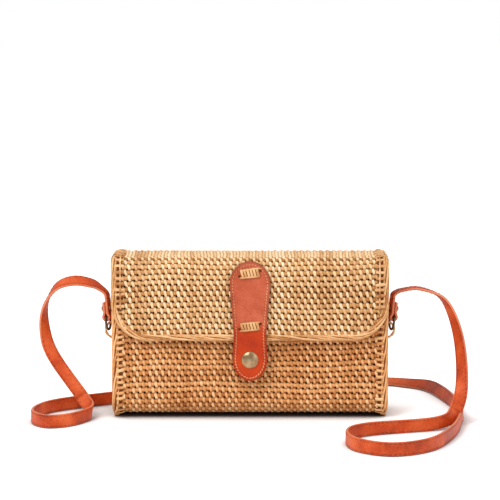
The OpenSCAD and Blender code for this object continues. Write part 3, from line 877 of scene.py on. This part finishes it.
wall_mid = (RIDGE - WALL) / 2
rim_high = WALL + 2 * RIM_PROUD + RIDGE
rim_start = 4.5
rim_flat = bent([(-flap_half, rim_start), (-flap_half, flap_end),
                 (flap_half, flap_end), (flap_half, rim_start)], [flap_r, flap_r], 16)
rim_edge = Edge(flap_line.spot, fine(rim_flat, RIM_STEP), wall_mid)
bm = fresh()
bound_rim(bm, rim_edge, RIM_W, rim_high, dice, 1, FLAP_REACH, lambda q: q.y < flap_end - flap_r + SEWN_PAST)
finished("flap_rim_bound", bm, cane, "flap", ["flap_rim"])

cane_mid = (CANE_PROUD - WALL) / 2
cane_high = CANE_PROUD + WALL
cane_parts = round(body_line.length / RIM_STEP)
# Underside of a foot, as points in Y and Z
FOOT_LINE = ((-17.5, 3.1), (-16.2, 2.3), (-12, 1.85), (0, 1.8), (12, 1.85), (16.2, 2.3), (17.5, 3.1))
FOOT_T = 3.6
for name, side in SIDES:
    x = side * (BAG_W / 2 - CANE_W / 2)
    flat = [Vector((x, s)) for s in steps(0.0, body_line.length, cane_parts)]
    bm = fresh()
    bound_rim(bm, Edge(body_line.spot, flat, cane_mid), CANE_W, cane_high, dice, -side, EDGE_REACH)
    foot = [Vector((x, y + CENTRE_Y, z)) for y, z in FOOT_LINE]
    swept(bm, foot, RIGHT, CANE_W - CORE_IN, FOOT_T, 12, 0.4, None, 3.5)
    finished("edge_cane_bound_" + name, bm, edge_straw, "basket", ["edge_cane_" + name])

# Mouth rim: a bound strip along the front of the mouth
mouth_s = (MOUTH_Z - LINING_Z) / 2
mouth_flat = [Vector((x, mouth_s)) for x in steps(-WRAP_X, WRAP_X, 90)]
bm = fresh()
mouth_edge = Edge(body_line.spot, mouth_flat, wall_mid)
bound_rim(bm, mouth_edge, MOUTH_Z - LINING_Z, RIDGE + WALL, dice, -1, EDGE_REACH)
finished("mouth_rim_bound", bm, cane, "basket", ["mouth_rim"])

# End panels: weave between the edge canes
panel_low = FOOT + WALL
panel_high = BAG_H - FLAP_OUT
panel_pitch = even_pitch(panel_high - panel_low)
panel_front = front_y(0) + WALL
panel_back = BAG_D / 2 - WALL
panel_half = (panel_back - panel_front) / 2
panel_mid = (panel_back + panel_front) / 2


def panel_ends(y):
    """How far a panel stake reaches between the bends of the edge cane."""
    to_edge = panel_half - abs(y)
    low_r, top_r = BOTTOM_R - WALL, (BACK_R - WALL if y > 0 else FLAP_R - FLAP_OUT)
    low = low_r - corner_reach(low_r, max(low_r - to_edge, 0.0))
    top = top_r - corner_reach(top_r, max(top_r - to_edge, 0.0))
    return low, panel_high - panel_low - top


def panel_span(s):
    """How wide a panel rod is at a height, inside the bends of the edge cane."""
    low_r = BOTTOM_R - WALL
    short = max(0.0, low_r - s)
    return panel_half - 0.4 - low_r + corner_reach(low_r, short)


panel_x = spread(panel_half)
panel_rows = round((panel_high - panel_low) / panel_pitch)
for name, side in SIDES:
    def panel_spot(y, s, out, side=side):
        return Vector((side * (PANEL_X + out), panel_mid + y + CENTRE_Y, panel_low + s))

    bm = fresh()
    stakes(bm, panel_spot, panel_x, panel_ends, panel_pitch, dice, BACK)
    finished("end_weave_" + name, bm, body_straw_painted_shade, "basket", ["end_panel_" + name])
    bm = fresh()
    rods(bm, panel_spot, panel_rows, panel_pitch, panel_span, panel_x, dice)
    finished("end_rods_" + name, bm, body_rod_painted_shade, "basket")


# Closure tab: bevelled leather that follows the flap, with a sewn edge
TAB_ARC = 20
TAB_STITCH_IN = 2.2
TAB_STITCH_PITCH = 2.3
TAB_STITCH_HALF = 0.75
TAB_STITCH_STEPS = (-TAB_STITCH_HALF, -0.4, 0.0, 0.4, TAB_STITCH_HALF)
TAB_STITCH_SLANT = 0.35


def tab_edge(inset):
    """The tab's outline, moved inwards, as points across and along its line."""
    low_mid, high_mid = SNAP_Z + 1.0, TAB_TOP_Z - TAB_END
    waist = FLAP_Z + RIM_W
    low, high, end = TAB_LOW_W / 2 - inset, TAB_HIGH_W / 2 - inset, TAB_END - inset
    narrow = TAB_WAIST_W / 2 - inset
    points = [Vector((low * math.cos(a), low_mid + end * math.sin(a)))
              for a in steps(math.pi, 2 * math.pi, TAB_ARC)]
    points += [Vector((narrow, waist))]
    points += [Vector((high * math.cos(a), high_mid + end * math.sin(a)))
               for a in steps(0.0, math.pi, TAB_ARC)]
    points += [Vector((-narrow, waist)), points[0].copy()]
    return points


def tab_s(z, out=0.0):
    """Distance along the tab's line to where a point that far out of it has a given height."""
    lo, hi = 0.0, tab_line.length
    for _ in range(24):
        mid = (lo + hi) / 2
        if tab_line.spot(0, mid, out).z > z:
            lo = mid
        else:
            hi = mid
    return lo


# Each level: share of the outline, height, and how dark the leather is there
TAB_TOP = TAB_OFF + TAB_T
TAB_LEVELS = [(0.2, TAB_OFF, 1.0), (0.96, TAB_OFF + 0.1, 1.0), (1.0, TAB_OFF + 0.5, 1.0),
              (1.0, TAB_TOP - 0.7, 0.9), (0.985, TAB_TOP - 0.2, 0.6), (0.95, TAB_TOP, 0.3),
              (0.87, TAB_TOP, 0.2), (0.85, TAB_TOP - 0.25, 0.45), (0.82, TAB_TOP - 0.25, 0.4),
              (0.795, TAB_TOP, 0.08), (0.72, TAB_TOP + 0.05, 0.0), (0.5, TAB_TOP + 0.05, 0.0),
              (0.2, TAB_TOP + 0.05, 0.0)]


def tab_spot(p, out):
    return tab_line.spot(p.x, tab_s(p.y, out), out)


def tab_inset(share):
    """The tab's outline, shrunk to a share of its width."""
    inset = (1.0 - share) * TAB_LOW_W / 2
    return tab_edge(min(inset, TAB_WAIST_W / 2 - 1))


bm = fresh()
tab_rings = [[tab_spot(p, out) for p in tab_inset(share)[:-1]] for share, out, _ in TAB_LEVELS]
tube(bm, tab_rings, 0.5, [dark for _, _, dark in TAB_LEVELS])
finished("tab", bm, tab_leather, "flap", ["closure_tab"])


def along_loop(points, pitch):
    """Evenly spaced places and directions around a closed line."""
    marks = lengths(points)
    count = round(marks[-1] / pitch)
    for n in range(count):
        s = marks[-1] * n / count
        i = next(k for k in range(1, len(marks)) if s < marks[k]) - 1
        t = (points[i + 1] - points[i]).normalized()
        yield points[i] + t * (s - marks[i]), t


bm = fresh()
for place, along in along_loop(tab_edge(TAB_STITCH_IN), TAB_STITCH_PITCH):
    across = Vector((-along.y, along.x))
    path = [tab_spot(place + along * u + across * u * TAB_STITCH_SLANT,
                     TAB_TOP - 0.25 + 0.35 * (1 - (u / TAB_STITCH_HALF) ** 2)) for u in TAB_STITCH_STEPS]
    wide = RIGHT if abs(along.y) > abs(along.x) else UP
    swept(bm, path, wide, 0.85, 0.6, THREAD_SIDES, dice.random())
finished("tab_thread", bm, thread, "flap")

# Lashings: slanted cane wraps over a flat core in painted shade, and dark discs of painted shade where the
# cane goes through the leather
LASH_WRAPS = 6
LASH_LEAN = 0.3
LASH_TILT = 0.1
WRAP_W = 1.95
WRAP_T = 1.1
WRAP_RISE = 1.6
LASH_CORE = (-7.0, -3.5, 0.0, 3.5, 7.0)
LASH_TURN = LASH_W / 2 - 3.2
# Edge canes: how far past the turn, and how far out of the leather
LASH_EDGE = ((-4.6, 1.0), (-3.0, 1.2), (0.0, 1.2), (2.0, 0.8), (3.2, -0.6))
for name, z in (("upper", LASH_HIGH_Z), ("lower", LASH_LOW_Z)):
    bm = fresh()
    base = tab_s(z - FLAP_OUT * math.sin(LEAN))
    outwards = tab_line.spot(0, base, 1.0) - tab_line.spot(0, base, 0.0)
    tall = LASH_H / 2 - 0.5
    core = [tab_line.spot(x, base - LASH_TILT * x, TAB_TOP + 0.5) for x in LASH_CORE]
    upwards = outwards.cross(RIGHT)
    # The core is in painted shade, dark between the wraps
    swept(bm, core, upwards, LASH_H - CORE_IN, 1.4, 8, 0.1, [0.85] * len(core), 3.0)
    for n in range(LASH_WRAPS):
        x = ((n + 0.5) / LASH_WRAPS - 0.5) * (LASH_W - 1.0)
        path, depth = [], []
        for u in steps(-1.0, 1.0, 10):
            rise = TAB_TOP + 0.1 + WRAP_RISE * (1 - abs(u) ** 3)
            path.append(tab_line.spot(x - LASH_LEAN * tall * u, base - tall * u - LASH_TILT * x, rise))
            # Painted shade at each wrap's ends, where it goes down to the leather
            depth.append(0.5 * max(0.0, abs(u) - 0.75) * 4)
        swept(bm, path, RIGHT, WRAP_W, WRAP_T, 8, 0.2 + 0.5 * dice.random(), depth, 2.4)
    for end in (-1, 1):
        for edge in (-1, 1):
            path = [tab_line.spot(x, base + edge * (tall - 0.6) - LASH_TILT * x, TAB_TOP + out)
                    for x, out in ((end * (LASH_TURN + past), out) for past, out in LASH_EDGE)]
            swept(bm, path, upwards, 1.3, 1.2, 7, 0.6)
        # A dark disc of painted shade where the cane goes through the leather
        hole_shade = [tab_line.spot(end * (LASH_W / 2 + 0.6), base - end * (tall - 1.2), TAB_TOP + out)
                for out in (-0.3, 0.12)]
        swept(bm, hole_shade, RIGHT, 2.2, 2.0, 8, 0.0, [1.0, 1.0])
    finished(name + "_lashing_cane", bm, cane, "flap", [name + "_lashing"])

# Strap ends: leather folded round each ring and riveted
FOLD_X = STRAP_T / 2 + 0.05
RING_WIRE_R = 0.9
FOLD_GAP = 0.3
FOLD_R = RING_WIRE_R + FOLD_GAP + STRAP_T / 2
FOLD_PINCH = RING_H + 3.0
FOLD_TAIL = RING_H + 11.3
FOLD_TOP = RING_H + 14.3
FOLD_STEP = 1.6
FOLD_STITCHES = (0.8, 4.1, 7.4)
fold_line = fine([Vector((FOLD_X, FOLD_TAIL)), Vector((FOLD_X, FOLD_PINCH))]
                 + [Vector((FOLD_R * math.cos(math.radians(a)), RING_H + FOLD_R * math.sin(math.radians(a))))
                    for a in range(30, -211, -15)]
                 + [Vector((-FOLD_X, FOLD_PINCH)), Vector((-FOLD_X, FOLD_TOP))], FOLD_STEP)


def ring_spot(side, x, y, z):
    """A point given in the ring's own frame."""
    p = Matrix.Rotation(RING_TURN, 3, "Z") @ Matrix.Rotation(RING_LEAN, 3, "Y") @ Vector((x, y, z))
    p = p + Vector((RING_X, CENTRE_Y, LUG_Z))
    return Vector((side * p.x, p.y, p.z))


for name, side in SIDES:
    bm = fresh()
    path = [ring_spot(side, p.x, 0, p.y) for p in fold_line]
    wide = ring_spot(side, 0, 1, 0) - ring_spot(side, 0, 0, 0)
    rings = [strap_section(place, wide, heading(path, i).cross(wide)) for i, place in enumerate(path)]
    tube(bm, rings, around=STRAP_EDGE_HIGHLIGHT)
    finished("strap_fold_" + name, bm, strap_leather, name + "_ring", ["strap_end_" + name])

    bm = fresh()
    for start in FOLD_STITCHES:
        for edge in (-STITCH_IN, STITCH_IN):
            for face, top in ((1, FOLD_TAIL), (-1, FOLD_TOP)):
                out = face * (FOLD_X + STRAP_T / 2 - STITCH_SINK)
                thread_path = [ring_spot(side, out + face * STITCH_ARCH * (1 - (2 * u) ** 2), edge,
                                         top - start - STITCH_LONG * (u + 0.5)) for u in STITCH_STEPS]
                swept(bm, thread_path, wide, THREAD_W, THREAD_T, THREAD_SIDES, 0.5)
    finished("strap_fold_thread_" + name, bm, dark_thread, name + "_ring")

# Ring loops: two canes twisted together through each end panel
LUG_R = 6.2
LUG_IN = 4.0
LUG_CANE = 1.4
LUG_OFF = 0.5
LUG_TWIST = 0.55
for name, side in SIDES:
    out_x = PANEL_X + RIDGE
    line = [(out_x - LUG_IN, -LUG_R), (out_x - LUG_IN / 2, -LUG_R)]
    line += [(out_x + LUG_R * math.cos(math.radians(a)), LUG_R * math.sin(math.radians(a)))
             for a in range(-90, 91, 9)]
    line += [(out_x - LUG_IN / 2, LUG_R), (out_x - LUG_IN, LUG_R)]
    middle = [Vector((side * x, CENTRE_Y, LUG_Z + z)) for x, z in line]
    bm = fresh()
    for half_turn in (0.0, math.pi):
        path = []
        for i, place in enumerate(middle):
            along = heading(middle, i)
            angle = LUG_TWIST * i + half_turn
            path.append(place + (BACK * math.cos(angle) + along.cross(BACK) * math.sin(angle)) * LUG_OFF)
        swept(bm, path, BACK, LUG_CANE, LUG_CANE, 8, dice.random())
    finished("ring_loop_cane_" + name, bm, cane, "basket", ["ring_loop_" + name])


# Linings: cotton sheets with a sewn hem and small gathers below it
CLOTH_T = 0.5
CLOTH_GAP = 0.3
CLOTH_OUT = -WALL - 0.25
CLOTH_PARTS = 80
END_PARTS = 24
GATHER = 0.3
GATHER_FADE = 14
HEM_W = 2.6
HEM_T = 1.3
HEM_STEP = 1.6
HEM_IN = 1.1


def sheet(bm, spot, rows, span, out, parts):
    """A thin cloth whose rows run across the surface, span(s) wide on each side."""
    rings = []
    for s in rows:
        xs = [span(s) * share for share in steps(-1.0, 1.0, parts)]
        gather = GATHER * math.exp(-s / GATHER_FADE)
        depth = [out - gather * (1 + math.sin(0.62 * x + 1.7 * math.sin(0.11 * x))) for x in xs]
        rings.append([spot(x, s, d) for x, d in zip(xs, depth)]
                     + [spot(x, s, d - CLOTH_T) for x, d in zip(reversed(xs), reversed(depth))])
    tube(bm, rings)


def hem(bm, path, wide):
    """A rolled edge with a running stitch along it."""
    swept(bm, path, wide, HEM_W, HEM_T, 8, 0.5, None, 2.6)
    for a, b in zip(path[1::2], path[3::2]):
        swept(bm, [a, a.lerp(b, 0.35), a.lerp(b, 0.7)], wide, 0.7, 1.75, THREAD_SIDES, 1.0)


cloth_half = PANEL_X - WALL - CLOTH_GAP
cloth_to = bottom_to + LINING_Z - FOOT - BOTTOM_R
cloth_up = back_to - 1.5
bm = fresh()
for first, last, parts in ((wrap_from, cloth_to, 110), (cloth_to, cloth_up, 12)):
    sheet(bm, body_line.spot, steps(first, last, parts), lambda s: cloth_half, CLOTH_OUT, CLOTH_PARTS)
inner_r = BOTTOM_R - WALL - CLOTH_GAP
cloth_front = front_y(0) + WALL + 0.6
cloth_back = BAG_D / 2 - WALL - CLOTH_GAP
cloth_mid = (cloth_front + cloth_back) / 2
cloth_deep = LINING_Z - FOOT - WALL - CLOTH_GAP


def cloth_end_span(s):
    """Half the depth of the lining's end at a distance below its hem."""
    past = max(0.0, s - cloth_deep + inner_r)
    return (cloth_back - cloth_front) / 2 - inner_r + corner_reach(inner_r, past, 0.01)


for _, side in SIDES:
    def cloth_end(y, s, out, side=side):
        return Vector((side * (PANEL_X + out), cloth_mid + y + CENTRE_Y, LINING_Z - s))

    for rows in (steps(0.0, cloth_deep, 40), [0.0, LINING_Z - MOUTH_Z]):
        sheet(bm, cloth_end, rows, cloth_end_span, CLOTH_OUT, END_PARTS)
hem_z = LINING_Z - 1.4
hem_front, hem_back = front_y(hem_z) + WALL + HEM_IN, BAG_D / 2 - WALL - HEM_IN
hem_half = PANEL_X - WALL - HEM_IN
corners = [(-hem_half, hem_front), (hem_half, hem_front), (hem_half, hem_back), (-hem_half, hem_back),
           (-hem_half, hem_front)]
hem_path = fine([Vector((x, y + CENTRE_Y, hem_z)) for x, y in corners], HEM_STEP)
hem(bm, hem_path, UP)
lining_cloth = finished("lining_cloth", bm, cotton, "basket", ["lining"])

# Hinge strip: from the lining to the flap, behind the bend of the weave
HINGE_FROM, HINGE_TO = -2.2, 7.0
HINGE_OUT = -2.9
hinge_half = WRAP_X + 2.5
bm = fresh()
hinge_rows = steps(HINGE_FROM, HINGE_TO, 12)
sheet(bm, flap_line.spot, hinge_rows, lambda s: hinge_half, HINGE_OUT, CLOTH_PARTS)
hinge_cloth = finished("hinge_cloth", bm, cotton, None)
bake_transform(hinge_cloth, "basket", "flap", start=hinge_start, end=hinge_end)

wrap_long = (cloth_up - wrap_from) * MM
end_tall, end_deep = (MOUTH_Z - LINING_Z + cloth_deep) * MM, (cloth_back - cloth_front) * MM
lining_area = 2 * (cloth_half * MM * wrap_long + end_tall * end_deep)
2 * (cloth_half * MM + end_tall)


def cover_span(s):
    """Half the width of the flap's lining, inside the rim."""
    inset = RIM_W + CLOTH_GAP
    past = max(0.0, s - (flap_line.length - FLAP_CORNER_R))
    r = FLAP_CORNER_R - inset
    return BAG_W / 2 - inset - r + corner_reach(r, past, 0.01)


cover_from, cover_to = 3.4, flap_line.length - RIM_W - 0.4
bm = fresh()
sheet(bm, flap_line.spot, steps(cover_from, cover_to, 70), cover_span, -WALL - 0.1, CLOTH_PARTS)
inset = RIM_W + 1.6
half = BAG_W / 2 - inset
cover_low = cover_to - 1.2
cover_edge = bent([(-half, cover_from + 1), (-half, cover_low), (half, cover_low), (half, cover_from + 1)],
                  [FLAP_CORNER_R - inset] * 2, 12)
cover_flat = fine(cover_edge, HEM_STEP)
cover_path = [flap_line.spot(p.x, p.y, -WALL - 0.6) for p in cover_flat]
cover_out = [flap_line.spot(p.x, p.y, 1) - flap_line.spot(p.x, p.y, 0) for p in cover_flat]
swept(bm, cover_path, lambda i: cover_out[i], 0.9, 2.4, 8, 0.5, None, 2.6)
flap_cloth = finished("flap_lining_cloth", bm, cotton, "flap", ["flap_lining"])
2 * cover_span(cover_from) * MM

# Finishes on the solids that stay
BRASS_NODES = ("snap_cap", "snap_socket", "snap_stud", "snap_backing",
               "strap_rivet_left", "strap_rivet_right")
IRON_NODES = ("ring_left", "ring_right")
for node, finish in [(node, brass) for node in BRASS_NODES] + [(node, iron) for node in IRON_NODES]:
    nodes[node].data.materials.clear()
    nodes[node].data.materials.append(finish)

# Studio: pale floor with a painted shadow where things stand close to it, soft lamps, white surroundings for
# the camera
BLACK = (0.0, 0.0, 0.0, 1.0)
WHITE = (1.0, 1.0, 1.0, 1.0)
FLOOR_COLOUR = (0.92, 0.91, 0.91, 1.0)
# Colour of the painted shadow on the floor near the bag and strap
PAINTED_SHADOW_COLOUR = (0.1, 0.06, 0.05, 1.0)
PAINTED_SHADOW_REACH = 0.04
FLOOR_HALF = 60.0
FLOOR_GLOW = 0.55
MIRROR_GLOW = 0.3
SKY = 0.62
LAMP_AIM = (0, 0, 0.05)
floor_mesh = bpy.data.meshes.new("floor")
bm = bmesh.new()
bmesh.ops.create_grid(bm, x_segments=1, y_segments=1, size=FLOOR_HALF)
bm.to_mesh(floor_mesh)
bm.free()
floor = bpy.data.objects.new("floor", floor_mesh)
bpy.context.scene.collection.objects.link(floor)
paper = Finish("floor_paper", Roughness=0.9, Specular_IOR_Level=0.0, Emission_Strength=1.0)
# Painted shadow: the floor's glow for the camera fades, and its colour darkens, where the bag and strap come
# near
open_floor = paper.node("ShaderNodeAmbientOcclusion", {"samples": 8}, {"Distance": PAINTED_SHADOW_REACH}, "AO")
seen = FLOOR_GLOW * paper.ray("Is Camera Ray") * open_floor * open_floor
glow = seen + MIRROR_GLOW * paper.ray("Is Glossy Ray")
paper.feed("Emission Color", paper.mixed(glow, BLACK, WHITE))
clear_of_painted_shadow = open_floor.between(0.1, 0.75)
paper.feed("Base Color", paper.mixed(clear_of_painted_shadow, PAINTED_SHADOW_COLOUR, FLOOR_COLOUR))
floor_mesh.materials.append(paper.material)

world = bpy.data.worlds.new("studio")
bpy.context.scene.world = world
world.use_nodes = True
sky = Nodes(world.node_tree)
background = sky.tree.nodes["Background"]
background.inputs["Color"].default_value = WHITE
level = sky.node("ShaderNodeMath", {"operation": "MAXIMUM"}, {0: sky.ray("Is Camera Ray"), 1: SKY})
sky.tree.links.new(level.socket, background.inputs["Strength"])


def lamp(name, place, power, size):
    """A soft square lamp turned to the bag."""
    light = bpy.data.lights.new(name, "AREA")
    light.energy, light.size = power, size
    made = bpy.data.objects.new(name, light)
    made.location = place
    made.rotation_euler = (Vector(LAMP_AIM) - Vector(place)).to_track_quat("-Z", "Y").to_euler()
    bpy.context.scene.collection.objects.link(made)


lamp("key", (-0.7, -1.0, 1.3), 16.0, 0.7)
lamp("fill", (1.2, -0.9, 0.8), 5.0, 1.0)

bpy.context.scene.view_settings.view_transform = "Standard"
